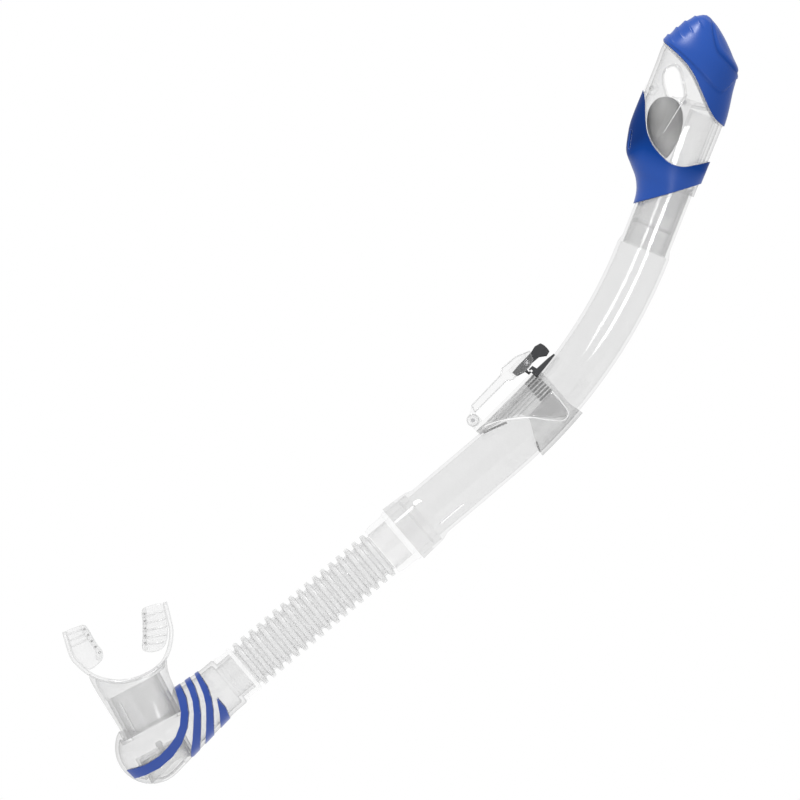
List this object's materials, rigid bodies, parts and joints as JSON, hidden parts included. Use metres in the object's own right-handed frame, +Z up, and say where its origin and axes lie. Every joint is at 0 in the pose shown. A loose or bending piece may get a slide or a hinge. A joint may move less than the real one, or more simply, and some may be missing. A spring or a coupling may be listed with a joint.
{
  "type": "snorkel tube",
  "caption": "Curved clear snorkel tube with a float-valve dry top, a sliding strap clip, a ribbed flexible hose, a purge chamber with blue bands and a soft bite mouthpiece.",
  "frame": {"origin": "middle of the strap slot in the sliding keeper's clip", "axes": "+Z up as worn face down in the water, +X from the mouth end towards the dry top, +Y through the strap slot; the tube's bend lies in the XZ plane"},
  "size_m": [0.3489, 0.0378, 0.3992],
  "materials": {
    "clear_plastic": "clear polycarbonate, polished",
    "frosted_plastic": "translucent grey-white moulding",
    "soft_clear": "translucent silicone",
    "royal_blue": "satin blue",
    "blue_inlay": "soft blue overmould",
    "dark_grey": "dark grey acetal",
    "float_grey": "grey sealed foam float",
    "seal_grey": "grey seal rubber",
    "steel": "stainless pin"
  },
  "bodies": {
    "tube": {"barrel": "clear_plastic", "dry_top_housing": "clear_plastic", "dry_top_collar": "royal_blue", "crown_cap": "royal_blue", "airway_tube": "frosted_plastic", "airway_seal": "seal_grey", "lever_pin": "steel", "housing_peg": "steel", "hose_upper_cuff": "clear_plastic", "cuff_seal": "seal_grey", "corrugated_hose": "soft_clear"},
    "float_arm": {"float_lever": "clear_plastic", "flap_seal": "soft_clear", "float": "float_grey"},
    "keeper": {"keeper_band": "clear_plastic", "clip_base": "clear_plastic", "latch_catch": "dark_grey", "gate_pin": "steel"},
    "gate": {"strap_gate": "clear_plastic", "latch_pin": "steel", "latch_spring": "steel"},
    "latch": {"latch_lever": "dark_grey"},
    "hose_foot": {"hose_lower_cuff": "soft_clear"},
    "elbow": {"chamber": "clear_plastic", "stripe_inner": "blue_inlay", "stripe_middle": "blue_inlay", "stripe_outer": "blue_inlay", "stripe_tip": "blue_inlay", "purge_seat": "frosted_plastic", "purge_cover": "clear_plastic", "mouth_ring": "frosted_plastic"},
    "diaphragm": {"purge_diaphragm": "soft_clear"},
    "bite": {"mouthpiece": "soft_clear"}
  },
  "joints": [
    {"name": "float_swing", "type": "hinge", "parent": "tube", "child": "float_arm", "pos_m": [0.09761, 0, 0.15397], "axis": [0, 1, 0], "range_deg": [0, 10]},
    {"name": "keeper_slide", "type": "hinge", "parent": "tube", "child": "keeper", "pos_m": [-0.17314, 0, 0.1755], "axis": [0, -1, 0], "range_deg": [0, 14]},
    {"name": "gate_swing", "type": "hinge", "parent": "keeper", "child": "gate", "pos_m": [-0.01252, 0, -0.01138], "axis": [0, -1, 0], "range_deg": [0, 60]},
    {"name": "latch_squeeze", "type": "hinge", "parent": "gate", "child": "latch", "pos_m": [0.01541, 0, 0.01853], "axis": [0, 1, 0], "range_deg": [0, 8], "stiffness_Nm_per_rad": 0.05},
    {"name": "hose_bend", "type": "hinge", "parent": "tube", "child": "hose_foot", "pos_m": [-0.09529, 0, -0.10988], "axis": [0, 1, 0], "range_deg": [-30, 30], "stiffness_Nm_per_rad": 0.9, "deforming": ["corrugated_hose"]},
    {"name": "elbow_turn", "type": "hinge", "parent": "hose_foot", "child": "elbow", "pos_m": [-0.13784, 0, -0.14597], "axis": [0.7627, 0, 0.6468], "range_deg": [-90, 90]},
    {"name": "purge_lift", "type": "slide", "parent": "elbow", "child": "diaphragm", "axis": [0.4695, 0, -0.8829], "range_m": [0, 0.0012], "stiffness_N_per_m": 60},
    {"name": "mouthpiece_turn", "type": "hinge", "parent": "elbow", "child": "bite", "pos_m": [-0.18399, 0, -0.15944], "axis": [-0.4695, 0, 0.8829], "range_deg": [-90, 90]}
  ]
}
